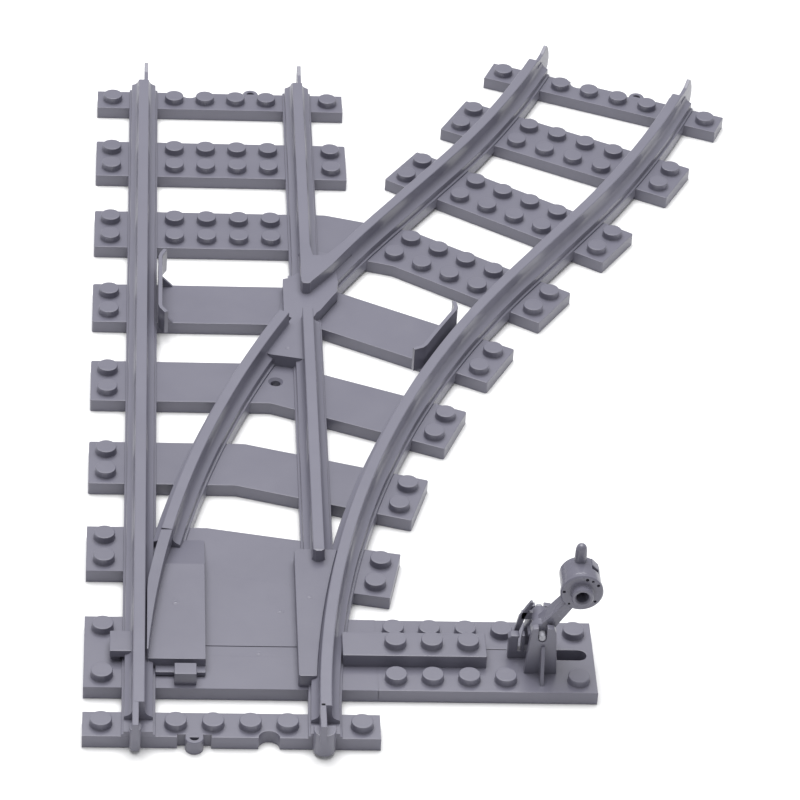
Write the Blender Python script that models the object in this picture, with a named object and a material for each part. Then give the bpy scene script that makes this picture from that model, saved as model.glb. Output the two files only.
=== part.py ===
"""Model turnout switch: a right-hand toy railway turnout with a sliding tongue and a throw lever.

Layout: +Y runs along the straight track from the joint with the points towards the frog, +X is the
side of the diverging track and +Z is up. The layout's own origin is on the straight track's centre
line at the near joint, and every piece is drawn there in millimetres. seat() then turns it into
metres and moves the layout so that the world's origin is under the middle of the whole turnout.
"""

import math

import bmesh
import bpy
from mathutils import Matrix, Vector

MM = 0.001
GAP = 0.3

# Track plan, on the 8 mm stud grid
PITCH = 8.0
HALF_LENGTH = 4 * PITCH
STRAIGHT = 32 * PITCH
GAUGE = 2.5 * PITCH
BEND = 40 * PITCH
BEND_ANGLE = math.radians(34.0)
LINK = 4 * PITCH
EXIT_ANGLE = math.radians(22.5)
BRANCH_LENGTH = BEND * BEND_ANGLE + LINK + BEND * (BEND_ANGLE - EXIT_ANGLE)
CENTRE_X, CENTRE_Y = 50.26, 136.21

# Heights: a plate is 3.2 mm, and rails stand three plates high
PLATE = 3.2
FLOOR = 2 * PLATE
RAIL_TOP = 3 * PLATE
SEAT = PLATE + GAP
STUD_RADIUS, STUD_HEIGHT, STUD_SIDES = 2.4, 1.7, 10

# Half of the rail's section, from its top down to its foot, as (across, height)
HEAD = 1.25
FOOT = 3.65
SECTION = ((HEAD, RAIL_TOP), (1.35, 6.8), (2.0, 5.8), (3.1, 5.3), (3.1, 3.9), (FOOT, 3.9), (FOOT, 0.9))

# Points, drive and lever
HEEL_Y, NOSE_Y, FROG_Y, VEE_Y = 63.3, 56.4, 140.0, 160.8
ROD_Y, ROD_LOW, ROD_HIGH = (27.0, 30.3), 1.1, PLATE
SLOT_Y, SLOT_LOW = (26.7, 30.6), 0.8
PIVOT = (67.5, 28.0, 13.0)
LEAN = math.radians(35.0)
THROW = 3.5
TARGET = (75.4, 24.4)


def clear_scene():
    for obj in list(bpy.data.objects):
        bpy.data.objects.remove(obj, do_unlink=True)


def plastic(name, colour, roughness):
    material = bpy.data.materials.new(name)
    material.use_nodes = True
    shader = material.node_tree.nodes["Principled BSDF"]
    shader.inputs["Base Color"].default_value = (*colour, 1.0)
    shader.inputs["Roughness"].default_value = roughness
    shader.inputs["Metallic"].default_value = 0.0
    return material


def branch(s):
    """The diverging centre line at arc length s: (x, y, heading from +Y towards +X)."""
    first = BEND * BEND_ANGLE
    angle = min(s, first) / BEND
    x, y = BEND * (1 - math.cos(angle)), BEND * math.sin(angle)
    straight = min(max(s - first, 0.0), LINK)
    x, y = x + straight * math.sin(BEND_ANGLE), y + straight * math.cos(BEND_ANGLE)
    heading = angle - max(s - first - LINK, 0.0) / BEND
    x += BEND * (math.cos(heading) - math.cos(angle))
    y += BEND * (math.sin(angle) - math.sin(heading))
    return x, y, heading


def local(frame, along, across):
    """Plan point at `along` and `across` (to the right) of a frame (x, y, heading)."""
    x, y, heading = frame
    return (
        x + along * math.sin(heading) + across * math.cos(heading),
        y + along * math.cos(heading) - across * math.sin(heading),
    )


def arc_x(radius, y):
    """X of the circle about the bend's centre, at y."""
    return BEND - math.sqrt(radius**2 - y**2)


def spread(low, high, count):
    return [low + (high - low) * i / count for i in range(count + 1)]


# Shapes, drawn in layout millimetres


def add_prism(bm, outline, low, high):
    """Adds an upright prism over a plan outline."""
    bottom = [bm.verts.new((x, y, low)) for x, y in outline]
    top = [bm.verts.new((x, y, high)) for x, y in outline]
    close_rings(bm, [bottom, top])


def add_loft(bm, sections):
    """Adds a closed body through cross-sections with equal numbers of points."""
    close_rings(bm, [[bm.verts.new(point) for point in section] for section in sections])


def close_rings(bm, rings):
    for near, far in zip(rings, rings[1:]):
        for i in range(len(near)):
            j = (i + 1) % len(near)
            bm.faces.new((near[i], near[j], far[j], far[i]))
    bm.faces.new(rings[0])
    bm.faces.new(rings[-1])


def add_box(bm, x, y, z):
    add_prism(bm, [(x[0], y[0]), (x[1], y[0]), (x[1], y[1]), (x[0], y[1])], *z)


def add_side_prism(bm, frame, outline, across):
    """Adds a plate that stands along a frame: outline is (along, height), across its two sides."""
    sections = [[(*local(frame, along, side), z) for along, z in outline] for side in across]
    add_loft(bm, sections)


def add_peg(bm, centre, radius, low, high, sides=STUD_SIDES):
    """Adds an upright round peg."""
    add_prism(bm, circle(centre, radius, sides), low, high)


def add_cross_pin(bm, x, z, radius, y, sides=16):
    """Adds a round pin that lies along Y."""
    add_loft(bm, [[(px, end, pz) for px, pz in circle((x, z), radius, sides)] for end in y])


def circle(centre, radius, sides):
    angles = [2 * math.pi * i / sides for i in range(sides)]
    return [(centre[0] + radius * math.cos(a), centre[1] + radius * math.sin(a)) for a in angles]


def shape(draw, *args):
    """A new bmesh with one thing drawn in it."""
    bm = bmesh.new()
    draw(bm, *args)
    return bm


def solid(name, bm):
    bmesh.ops.remove_doubles(bm, verts=bm.verts, dist=0.0001)
    bmesh.ops.recalc_face_normals(bm, faces=bm.faces)
    mesh = bpy.data.meshes.new(name)
    bm.to_mesh(mesh)
    bm.free()
    obj = bpy.data.objects.new(name, mesh)
    bpy.context.scene.collection.objects.link(obj)
    return obj


def combine(obj, other, operation):
    """Joins `other` to obj, or cuts it away."""
    step = obj.modifiers.new(operation.lower(), "BOOLEAN")
    step.operation = operation
    step.solver = "EXACT"
    step.object = other
    with bpy.context.temp_override(object=obj, active_object=obj, selected_objects=[obj]):
        bpy.ops.object.modifier_apply(modifier=step.name)


def make(name, material, first, joins=(), cuts=(), cutters=()):
    """A piece from its first shape, the shapes joined to it and the shapes cut from it."""
    obj = solid(name, first)
    for operation, shapes in (("UNION", joins), ("DIFFERENCE", cuts)):
        for bm in shapes:
            other = solid("shape", bm)
            combine(obj, other, operation)
            bpy.data.objects.remove(other, do_unlink=True)
    for cutter in cutters:
        combine(obj, cutter, "DIFFERENCE")
    obj.data.materials.clear()
    obj.data.materials.append(material)
    obj.data.shade_smooth()
    obj.data.set_sharp_from_angle(angle=math.radians(30))
    return obj


# Sleepers


def straight_outline(middle, half, grow=0.0):
    x, low, high = HALF_LENGTH + grow, middle - half - grow, middle + half + grow
    return [(-x, low), (x, low), (x, high), (-x, high)]


def branch_outline(s, half, grow=0.0):
    frame = branch(s)
    x, y = HALF_LENGTH + grow, half + grow
    return [local(frame, *corner) for corner in ((-y, -x), (-y, x), (y, x), (y, -x))]


def end_outline(frame, outward, grow=0.0):
    """A half sleeper behind a joint face; outward is 1 where the frame looks out of the track, else -1."""
    x, face, back = HALF_LENGTH + grow, outward * grow, -outward * (PITCH + grow)
    return [local(frame, *corner) for corner in ((face, -x), (face, x), (back, x), (back, -x))]


def joints():
    """The three end sleepers: name, frame at the joint face, side of the boss, and outward."""
    return (
        ("near_end_sleeper", (0.0, 0.0, 0.0), -PITCH, -1),
        ("far_end_sleeper", (0.0, STRAIGHT, 0.0), PITCH, 1),
        ("branch_end_sleeper", branch(BRANCH_LENGTH), PITCH, 1),
    )


def bent_outline(middle, s, grow=0.0):
    """A sleeper that lies square to the straight track at its left and to the branch at its right."""
    frame = branch(s)
    half, end = PITCH + grow, HALF_LENGTH + grow
    corners = []
    for side in (-half, half):
        start = local(frame, side, 0.0)
        across = (start[1] - middle - side) / math.sin(frame[2])
        corners.append(local(frame, side, across))
    return [
        (-end, middle - half),
        corners[0],
        local(frame, -half, end),
        local(frame, half, end),
        corners[1],
        (-end, middle + half),
    ]


def gusset_outline(middle, s, grow=0.0):
    """The straight track's sixth sleeper and the branch's, joined by a plain web between the legs."""
    frame = branch(s)
    half, end = PITCH + grow, HALF_LENGTH + grow
    web = local(frame, half, -GAUGE + 6.0)
    return [
        (-end, middle - half),
        (GAUGE + 2.0, middle - half),
        local(frame, -half, -10.0),
        local(frame, -half, end),
        local(frame, half, end),
        web,
        (GAUGE + 6.0, middle + half),
        (-end, middle + half),
    ]


def straight_studs(middle, across, rows=(-4.0, 4.0)):
    return [(x, middle + row) for row in rows for x in across]


def branch_studs(s, across, rows=(-4.0, 4.0)):
    return [local(branch(s), row, x) for row in rows for x in across]


def sleeper(name, material, outline, studs, cuts=(), joins=()):
    plate = shape(add_prism, outline, 0.0, PLATE)
    pegs = bmesh.new()
    for centre in studs:
        add_peg(pegs, centre, STUD_RADIUS, PLATE - 0.4, PLATE + STUD_HEIGHT)
    return make(name, material, plate, joins=[*joins, pegs], cuts=cuts)


def joint_details(frame, boss_side, outward):
    """A pierced boss, and what is cut away: its clearance slots, the next boss's socket and rail reliefs."""
    clear = 0.05  # keeps the rounds' corners off the joint face
    centre = local(frame, outward * clear, boss_side)
    socket = local(frame, outward * clear, -boss_side)
    boss = shape(add_peg, centre, 2.0, 0.0, PLATE, 16)
    cut = bmesh.new()
    add_peg(cut, centre, 0.95, -1.0, PLATE + 1.0, 12)
    add_peg(cut, socket, 2.3, -1.0, PLATE + 1.0, 16)
    slots = [(boss_side + side, 0.75, 0.9) for side in (-2.9, 2.9)]
    reliefs = [(side, FOOT + GAP, GAP) for side in (-GAUGE, GAUGE)]
    for middle, half, depth in slots + reliefs:
        corners = ((-depth, -half), (-depth, half), (3.0, half), (3.0, -half))
        outline = [local(frame, outward * along, middle + across) for along, across in corners]
        add_prism(cut, outline, -1.0, PLATE + 1.0)
    return boss, cut


def build_sleepers(material):
    ends, inner = (-28.0, -12.0, -4.0, 4.0, 12.0, 28.0), (-12.0, -4.0, 4.0, 12.0)
    pieces = []
    for name, frame, boss_side, outward in joints():
        boss, cut = joint_details(frame, boss_side, outward)
        studs = [local(frame, -outward * PITCH / 2, x) for x in ends]
        pieces.append(sleeper(name, material, end_outline(frame, outward), studs, [cut], [boss]))

    slot = shape(add_box, (-27.5, 32.5), SLOT_Y, (SLOT_LOW, PLATE + 2.0))
    throat = [(-HALF_LENGTH, 16.0), (HALF_LENGTH - 0.15, 16.0), (HALF_LENGTH - 0.15, 40.0), (-HALF_LENGTH, 40.0)]
    pieces.append(sleeper("throat_sleeper", material, throat, [(-28.0, 20.0), (-28.0, 36.0)], [slot]))
    deck = [(-16.0, 40.3), (16.0, 40.3), (16.0, 55.7), (-16.0, 55.7)]
    clear = shape(add_prism, bent_outline(64.0, BRANCH_LENGTH - 224.0, GAP), -1.0, PLATE + 1.0)
    pieces.append(make("deck_plate", material, shape(add_prism, deck, 0.0, PLATE), cuts=[clear]))

    arm = [(32.15, 16.0), (80.0, 16.0), (80.0, 40.0), (32.15, 40.0)]
    arm_studs = [(x, y) for y in (20.0, 36.0) for x in (36.0, 44.0, 52.0, 60.0, 76.0)]
    arm_slot = shape(add_box, (31.5, 78.5), SLOT_Y, (SLOT_LOW, PLATE + 2.0))
    pieces.append(sleeper("stand_arm", material, arm, arm_studs, [arm_slot]))

    for number in range(2, 6):
        middle = 32.0 * number
        s = BRANCH_LENGTH - 32.0 * (9 - number)
        studs = straight_studs(middle, (-28.0,)) + branch_studs(s, (28.0,))
        cuts = [shape(add_peg, (12.0, 128.6), 1.2, -1.0, PLATE + 1.0, 12)] if number == 4 else []
        pieces.append(sleeper(f"sleeper_{number}", material, bent_outline(middle, s), studs, cuts))

    s = BRANCH_LENGTH - 96.0
    studs = straight_studs(192.0, (-28.0, *inner)) + branch_studs(s, (*inner, 28.0))
    pieces.append(sleeper("sleeper_6", material, gusset_outline(192.0, s), studs))
    studs = straight_studs(224.0, (-28.0, *inner, 28.0))
    pieces.append(sleeper("sleeper_7", material, straight_outline(224.0, PITCH), studs))
    for number in (7, 8):
        s = BRANCH_LENGTH - 32.0 * (9 - number)
        studs = branch_studs(s, (-28.0, *inner, 28.0))
        pieces.append(sleeper(f"branch_sleeper_{number}", material, branch_outline(s, PITCH), studs))
    return pieces


def sleeper_notches():
    """One cutter that clears every sleeper, with the gap all round, for the pieces that stand over them."""
    bm = bmesh.new()
    outlines = [end_outline(frame, outward, GAP) for _, frame, _, outward in joints()]
    outlines.append(straight_outline(224.0, PITCH, GAP))
    outlines.append([(-33.0, 15.7), (81.0, 15.7), (81.0, 40.3), (-33.0, 40.3)])
    for number in range(2, 6):
        outlines.append(bent_outline(32.0 * number, BRANCH_LENGTH - 32.0 * (9 - number), GAP))
    outlines.append(gusset_outline(192.0, BRANCH_LENGTH - 96.0, GAP))
    for number in (7, 8):
        outlines.append(branch_outline(BRANCH_LENGTH - 32.0 * (9 - number), PITCH, GAP))
    for outline in outlines:
        add_prism(bm, outline, -2.0, SEAT)
    cutter = solid("sleeper_notches", bm)
    cutter.hide_render = True
    cutter.display_type = "WIRE"
    return cutter


# Rails


def both_sides(section=SECTION):
    """The rail's whole section, from the foot at its right over the top to the foot at its left."""
    right = list(reversed(section))
    return right + [(-across, z) for across, z in section]


def straight_sections(x, stations, clip=None):
    """Sections along the straight track, with each point's x passed through clip(x, y)."""
    keep = clip or (lambda px, py: px)
    return [[(keep(x + across, y), y, z) for across, z in both_sides()] for y in stations]


def arc_sections(radius, stations, clip=None):
    """Sections cut square to the straight track, along an arc about the bend's centre."""
    keep = clip or (lambda px, py: px)
    return [
        [(keep(arc_x(radius - across, y), y), y, z) for across, z in both_sides()] for y in stations
    ]


def path_sections(offset, stations):
    """Sections along the diverging centre line, at an offset to its right."""
    return [[(*local(branch(s), 0.0, offset + across), z) for across, z in both_sides()] for s in stations]


def exit_fin(frame):
    """The thin upright tongue on the right half of a rail's end, which enters the next track's slot."""
    outline = [(-5.0, 9.4), (-1.5, 8.3), (1.5, 8.6), (4.2, RAIL_TOP), (5.8, 8.0), (7.0, 5.0)]
    outline += [(6.5, 2.0), (5.0, 0.9), (-5.0, 0.9)]
    return shape(add_side_prism, frame, outline, (0.15, 1.15))


def exit_recess(frame):
    """The space over the last of a rail's web, where the next rail's head comes in."""
    outline = [(-4.0, 7.0), (1.0, 7.0), (1.0, 11.0), (-4.0, 11.0)]
    return shape(add_side_prism, frame, outline, (-3.0, 3.0))


def entry_nose(x, left, right):
    """The rounded end that stands past the near joint, under the rail's head."""
    middle, radius = x + (left + right) / 2, (right - left) / 2
    arc = [math.pi * i / 8 for i in range(9)]
    outline = [(middle - radius * math.cos(a), -0.8 - radius * math.sin(a)) for a in arc]
    nose = shape(add_prism, [*outline, (middle + radius, 0.4), (middle - radius, 0.4)], 0.9, 6.9)
    head = shape(add_box, (x - HEAD, x + 0.1), (-3.6, 0.4), (5.0, RAIL_TOP))
    return [nose, head]


def entry_slot(x):
    """The slot beside a rail's head at the near joint, which takes the next track's fin."""
    return shape(add_box, (x + 0.1, x + 2.0), (-4.0, 3.8), (4.4, RAIL_TOP + 1.0))


def build_rails(material, notches):
    far, end = STRAIGHT, BRANCH_LENGTH
    ends = {
        "left_stock_rail": (-GAUGE, far, 0.0),
        "main_exit_rail": (GAUGE, far, 0.0),
        "curved_stock_rail": (*local(branch(end), 0.0, GAUGE), EXIT_ANGLE),
        "branch_exit_rail": (*local(branch(end), 0.0, -GAUGE), EXIT_ANGLE),
    }
    recess = {name: exit_recess(frame) for name, frame in ends.items()}
    pieces = []
    pieces.append(make(
        "left_stock_rail", material, shape(add_loft, straight_sections(-GAUGE, (0.0, far))),
        joins=entry_nose(-GAUGE, -1.9, 0.6), cuts=[entry_slot(-GAUGE), recess["left_stock_rail"]],
        cutters=[notches],
    ))
    pieces.append(make(
        "curved_stock_rail", material, shape(add_loft, path_sections(GAUGE, spread(0.0, end, 34))),
        joins=entry_nose(GAUGE, -2.6, 2.2), cuts=[entry_slot(GAUGE), recess["curved_stock_rail"]],
        cutters=[notches],
    ))

    stock_foot = -GAUGE + FOOT + GAP
    sections = arc_sections(BEND + GAUGE, spread(HEEL_Y + GAP, FROG_Y, 9), lambda x, y: max(x, stock_foot))
    pieces.append(make("left_closure_rail", material, shape(add_loft, sections), cutters=[notches]))
    sections = straight_sections(
        GAUGE, spread(NOSE_Y, 70.0, 4) + [FROG_Y],
        lambda x, y: min(x, arc_x(BEND - GAUGE + FOOT + GAP, min(y, 80.0))),
    )
    pieces.append(make("right_closure_rail", material, shape(add_loft, sections), cutters=[notches]))

    start_y, start_s = 178.3, 177.5
    pieces.append(make(
        "main_exit_rail", material, shape(add_loft, straight_sections(GAUGE, (start_y, far))),
        cuts=[recess["main_exit_rail"]], cutters=[notches],
    ))
    pieces.append(make(
        "branch_exit_rail", material, shape(add_loft, path_sections(-GAUGE, spread(start_s, end, 14))),
        cuts=[recess["branch_exit_rail"]], cutters=[notches],
    ))
    for piece in pieces:
        if piece.name in ends:
            fin = solid("fin", exit_fin(ends[piece.name]))
            combine(fin, notches, "DIFFERENCE")
            combine(piece, fin, "UNION")
            bpy.data.objects.remove(fin, do_unlink=True)
    pieces.append(check_rail("left_check_rail", material, notches, [
        (-14.2, 147.6), (-15.4, 150.2), (-15.6, 152.0), (-15.6, 170.0), (-15.4, 171.8), (-14.2, 174.4)]))
    path = ((145.3, 13.9), (147.6, 15.4), (149.5, 15.7), (157.5, 15.7), (165.0, 15.7), (167.0, 15.4), (169.3, 13.9))
    pieces.append(check_rail("right_check_rail", material, notches, [local(branch(s), 0.0, o) for s, o in path]))
    return pieces


def check_rail(name, material, notches, route, half=0.45):
    """A thin upright guard along a route, with its ends turned away from the running rail."""
    sections = []
    for i, point in enumerate(route):
        ahead = Vector(route[min(i + 1, len(route) - 1)]) - Vector(route[max(i - 1, 0)])
        side = Vector((ahead.y, -ahead.x)).normalized() * half
        left, right = Vector(point) - side, Vector(point) + side
        sections.append([(*left, SEAT), (*right, SEAT), (*right, RAIL_TOP), (*left, RAIL_TOP)])
    return make(name, material, shape(add_loft, sections), cutters=[notches])


# Frog


def build_frog(material, notches):
    inner = BEND + GAUGE
    start, stop = FROG_Y + GAP, 150.5
    side = GAUGE - HEAD

    # Skirt: the closure rails' feet run together under the crossing.
    left_edge = [(arc_x(inner + FOOT, y), y) for y in spread(start, 154.0, 4)]
    right_edge = [(GAUGE + FOOT, start), (GAUGE + FOOT, 151.5)]
    wing = [(arc_x(inner - 5.7, y), y) for y in (154.0, 157.0, VEE_Y - GAP)]
    floor_end = [(15.7, VEE_Y - GAP), (14.4, VEE_Y - 1.3)]
    skirt = shape(add_prism, right_edge + wing + floor_end + list(reversed(left_edge)), 0.9, 3.9)

    # Floor: a triangle between the closure rails, then the crossing and both flangeways.
    throat = [(arc_x(inner - 1.0, y), y) for y in (start, 145.0, stop)]
    floor = [(GAUGE - 1.0, start), (GAUGE + HEAD, stop), (GAUGE + 3.0, 154.0)] + wing + floor_end
    floor += [(14.4, 152.0)] + list(reversed(throat))
    slab = shape(add_prism, floor, 3.2, FLOOR)
    reach = [
        (arc_x(inner - FOOT - GAP, 136.5), 136.5), (GAUGE - FOOT - GAP, 134.2),
        (GAUGE - FOOT - GAP, 141.0), (arc_x(inner - FOOT - GAP, 141.0), 141.0),
    ]
    tongue = shape(add_prism, reach, SEAT, FLOOR)
    heads = bmesh.new()
    add_box(heads, (side, GAUGE + HEAD), (start, stop), (3.4, RAIL_TOP))
    bar = [[(arc_x(inner + HEAD, y), y), (arc_x(inner - HEAD, y), y)] for y in spread(start, stop - 2.0, 3)]
    outline = [pair[0] for pair in bar] + [pair[1] for pair in reversed(bar)]
    left_head = shape(add_prism, outline, 3.4, RAIL_TOP)
    casting = make(
        "frog_casting", material, skirt, joins=[slab, tongue, heads, left_head], cutters=[notches]
    )

    # Vee: where the straight and the diverging running rails part.
    back_y, back_s = 178.0, 177.2
    nose = [(side, VEE_Y + 1.0), (side + 0.5, VEE_Y), (GAUGE + HEAD - 0.4, VEE_Y), (GAUGE + HEAD, VEE_Y + 0.6)]
    right = [local(branch(s), 0.0, -GAUGE + HEAD) for s in (168.0, 172.5, back_s - 0.1)]
    crotch = [local(branch(back_s - 0.1), 0.0, -GAUGE - HEAD), (25.2, 174.0), (GAUGE + HEAD, back_y - 0.1)]
    top = shape(add_prism, [*nose, *right, *crotch, (side, back_y - 0.1)], 3.3, RAIL_TOP)
    feet = [(GAUGE - FOOT, VEE_Y + 0.1), (26.3, VEE_Y + 0.1)]
    feet += [local(branch(s), 0.0, -GAUGE + FOOT) for s in (166.0, 172.0, back_s)]
    feet += [local(branch(back_s), 0.0, -GAUGE - FOOT), (GAUGE + FOOT, back_y), (GAUGE - FOOT, back_y)]
    base = shape(add_prism, feet, 0.9, 3.9)
    guide = [(side + 0.3, VEE_Y + 0.2), (side + 0.3, 167.6), (15.7, 168.3), (15.7, 167.2), (14.5, 166.8)]
    guide.append((14.4, VEE_Y + 0.2))
    left_way = shape(add_prism, guide, 3.4, FLOOR)
    edge = [local(branch(s), 0.0, -GAUGE + 5.6) for s in (157.5, 163.0)]
    lane = [(21.0, VEE_Y + 0.3), (27.0, VEE_Y + 0.3), edge[1], (29.2, 170.0)]
    lane += [local(branch(172.0), 0.0, -GAUGE + 0.5), (24.0, 166.0)]
    right_way = shape(add_prism, lane, 3.5, FLOOR - 0.01)
    vee = make("frog_vee", material, base, joins=[top, left_way, right_way], cutters=[notches])
    return [casting, vee]


# Small fixed pieces


def build_fixtures(material):
    stations = spread(16.5, NOSE_Y - GAP, 5)
    edge = [(2.0, FLOOR), (2.7, 6.1), (3.4, 5.6), (3.4, 4.2), (3.95, 4.2), (3.95, SEAT)]
    sections = []
    for y in stations:
        rail_side = [(arc_x(BEND - GAUGE + across, y), y, z) for across, z in edge]
        sections.append([(14.6, y, SEAT), (14.6, y, FLOOR), *rail_side])
    pieces = [make("flange_plate", material, shape(add_loft, sections))]

    cover = shape(add_box, (25.9, 56.0), (24.0, 32.0), (SEAT, FLOOR))
    pegs = bmesh.new()
    for x in (36.0, 44.0, 52.0):
        add_peg(pegs, (x, 28.0), STUD_RADIUS, FLOOR - 0.4, FLOOR + STUD_HEIGHT)
    ledge = shape(add_box, (24.4, 26.2), (24.0, 32.0), (5.8, FLOOR))
    pieces.append(make("right_rod_cover", material, cover, joins=[pegs, ledge]))

    frame = (0.0, 24.0, 0.0)
    outline = [(-26.4, SEAT), (-23.95, SEAT), (-23.95, 5.6), (-22.2, 6.1), (-22.2, FLOOR), (-26.4, FLOOR)]
    lug = shape(add_loft, [[(x, y, z) for x, z in outline] for y in (24.2, 31.6)])
    pieces.append(make("left_rod_cover", material, lug))

    outline = [(-7.0, SEAT), (-4.5, SEAT), (-4.5, 4.8), (-3.2, 4.8), (-3.2, FLOOR), (-7.0, FLOOR)]
    tab = shape(add_side_prism, frame, outline, (-12.3, -7.5))
    pieces.append(make("retainer_tab", material, tab))
    return pieces


def build_stand(material):
    """The two brackets that carry the lever's pivot."""
    x, _, z = PIVOT

    def bracket(ear, ends):
        outline = [(64.1, SEAT), (71.3, SEAT), (70.6, z + ear - 1.3), (69.6, z + ear), (68.9, z + ear)]
        outline += [(68.9, z), (67.5, z - 1.5), (66.1, z), (66.1, z + ear), (65.4, z + ear), (64.6, z + ear - 1.3)]
        return shape(add_loft, [[(px, y, pz) for px, pz in outline] for y in ends])

    front, rear = bracket(2.3, (22.4, 24.0)), bracket(1.2, (32.3, 33.7))
    rib_outline = [(0.0, SEAT), (5.2, SEAT), (5.2, 11.0), (3.6, 11.0)]
    rib = shape(add_side_prism, (x, 18.0, 0.0), rib_outline, (-0.2, 0.8))
    return [
        make("front_bracket", material, front, joins=[rib]),
        make("rear_bracket", material, rear),
    ]


# Moving pieces


def build_slide(material):
    """The tongue, its throw rod and the fork that the lever's crank works."""
    left_clip, keel = -18.35, -16.0
    sections = []
    for y in [22.1, *spread(28.0, 58.6, 5), HEEL_Y]:
        centre = arc_x(BEND + GAUGE, y)
        low, high = max(centre - HEAD, left_clip), centre + HEAD
        top = FLOOR if y < 59.0 else 5.0
        outline = [(-5.5, SEAT), (-5.5, top), (high, top), (high, RAIL_TOP), (low, RAIL_TOP)]
        outline += [(low, 7.2), (max(low, -17.3), 5.8), (max(keel, low), 5.8), (max(keel, low), SEAT)]
        sections.append([(x, y, z) for x, z in outline])
    body = shape(add_loft, sections)
    ledge = shape(add_box, (keel, -5.5), (19.9, 22.6), (SEAT, 4.4))
    ramp_outline = [(0.0, SEAT), (3.7, SEAT), (3.7, 3.9), (0.0, 5.0)]
    ramp = shape(add_side_prism, (0.0, HEEL_Y - 0.5, 0.0), ramp_outline, (-9.2, -5.5))
    pin = shape(add_peg, (-12.0, 28.65), 1.0, 1.6, SEAT + 0.4, 12)
    pieces = [make("tongue", material, body, joins=[ledge, ramp, pin])]

    rod = shape(add_box, (-26.0, 71.8), ROD_Y, (ROD_LOW, ROD_HIGH))
    holes = bmesh.new()
    add_peg(holes, (-12.0, 28.65), 1.3, 0.0, PLATE + 1.0, 12)
    add_peg(holes, (61.9, 28.65), 1.3, 0.0, PLATE + 1.0, 12)
    pieces.append(make("throw_rod", material, rod, cuts=[holes]))

    fork = shape(add_box, (60.6, 68.0), (27.3, 29.5), (SEAT, 6.4))
    parts = bmesh.new()
    add_box(parts, (60.6, 63.1), (27.3, 29.5), (6.0, 9.6))
    crank_x = PIVOT[0] - THROW * math.sin(LEAN)
    for side in (-1.55, 1.55):
        add_box(parts, (crank_x + side - 0.55, crank_x + side + 0.55), (27.3, 29.5), (6.0, 10.9))
    shank = shape(add_peg, (61.9, 28.65), 1.0, 1.6, SEAT + 0.4, 12)
    pieces.append(make("drive_fork", material, fork, joins=[parts, shank]))
    return pieces


def build_lever(material, light):
    """The lever: hub and crank, round target, grip pin and pivot pin, all turning about the pivot."""
    x, _, z = PIVOT
    along = Vector((math.sin(LEAN), 0.0, math.cos(LEAN)))
    side = Vector((math.cos(LEAN), 0.0, -math.sin(LEAN)))

    def blade(reach, width, y):
        """A bar from the pivot outwards: reach and width are (from, to) and (inner half, outer half)."""
        corners = ((reach[0], -width[0]), (reach[0], width[0]), (reach[1], width[1]), (reach[1], -width[1]))
        ring = [Vector((x, 0.0, z)) + along * a + side * b for a, b in corners]
        return [[(p.x, end, p.z) for p in ring] for end in y]

    hub = shape(add_cross_pin, x, z, 2.5, (24.4, 26.9))
    neck = shape(add_cross_pin, x, z, 1.9, (26.5, 31.8))
    arm = shape(add_loft, blade((0.0, 8.9), (2.2, 1.9), (24.4, 26.9)))
    web = shape(add_loft, blade((0.0, -THROW - 0.9), (1.6, 0.9), (29.8, 31.8)))
    crank = shape(add_cross_pin, x - THROW * math.sin(LEAN), z - THROW * math.cos(LEAN), 0.6, (27.0, 30.2), 10)
    finger_outline = [(64.2, 12.6), (65.8, 18.4), (64.9, 18.7), (62.9, 12.6), (61.9, 7.4), (62.8, 7.1)]
    finger = shape(add_loft, [[(px, y, pz) for px, pz in finger_outline] for y in (30.2, 31.2)])
    link = shape(add_box, (63.4, 66.6), (30.2, 31.2), (12.0, 14.0))
    bore = shape(add_cross_pin, x, z, 1.3, (20.0, 36.0), 16)
    pieces = [make("lever_arm", material, hub, joins=[neck, arm, web, crank, finger, link], cuts=[bore])]

    tx, tz = TARGET
    drum = shape(add_cross_pin, tx, tz, 4.5, (24.6, 32.0), 24)
    collar = shape(add_cross_pin, tx, tz, 4.65, (24.2, 25.6), 24)
    stud = shape(add_cross_pin, tx, tz, STUD_RADIUS, (22.5, 24.6), 16)
    hole = shape(add_cross_pin, tx, tz, 1.55, (21.0, 24.1), 12)
    pieces.append(make("lever_target", material, drum, joins=[collar, stud], cuts=[hole]))

    grip = bmesh.new()
    rings = ((1.38, tz + 4.8), (1.28, 31.4), (1.0, 32.7), (0.5, 33.2))
    add_loft(grip, [[(px, py, height) for px, py in circle((75.2, 30.4), radius, 12)] for radius, height in rings])
    pieces.append(make("lever_grip", material, grip))
    pin = shape(add_cross_pin, x, z, 1.0, (21.6, 34.4), 12)
    pieces.append(make("pivot_pin", light, pin))
    return pieces


def seat(pieces, origin, root):
    """Turns pieces into metres, with their origin at a layout point, and hangs them on the root."""
    for piece in pieces:
        piece.data.transform(Matrix.Scale(MM, 4) @ Matrix.Translation(-Vector(origin)))
        piece.parent = root
        piece.location = Vector(origin) * MM


def main():
    clear_scene()
    grey = plastic("moulded_grey", (0.155, 0.152, 0.178), 0.32)
    light = plastic("pin_grey", (0.36, 0.36, 0.40), 0.3)
    root = bpy.data.objects.new("turnout", None)
    root.location = (-CENTRE_X * MM, -CENTRE_Y * MM, 0.0)
    bpy.context.scene.collection.objects.link(root)

    notches = sleeper_notches()
    fixed = build_sleepers(grey) + build_rails(grey, notches) + build_frog(grey, notches)
    fixed += build_fixtures(grey) + build_stand(grey)
    seat(fixed, (0.0, 0.0, 0.0), root)
    seat(build_slide(grey), (PIVOT[0], ROD_Y[0], ROD_HIGH), root)
    seat(build_lever(grey, light), PIVOT, root)
    bpy.data.objects.remove(notches, do_unlink=True)


main()
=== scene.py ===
# Toy railway turnout, right hand: grey moulded ABS, drawn in layout millimetres
import math

import bmesh
import bpy
from mathutils import Matrix, Vector


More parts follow.
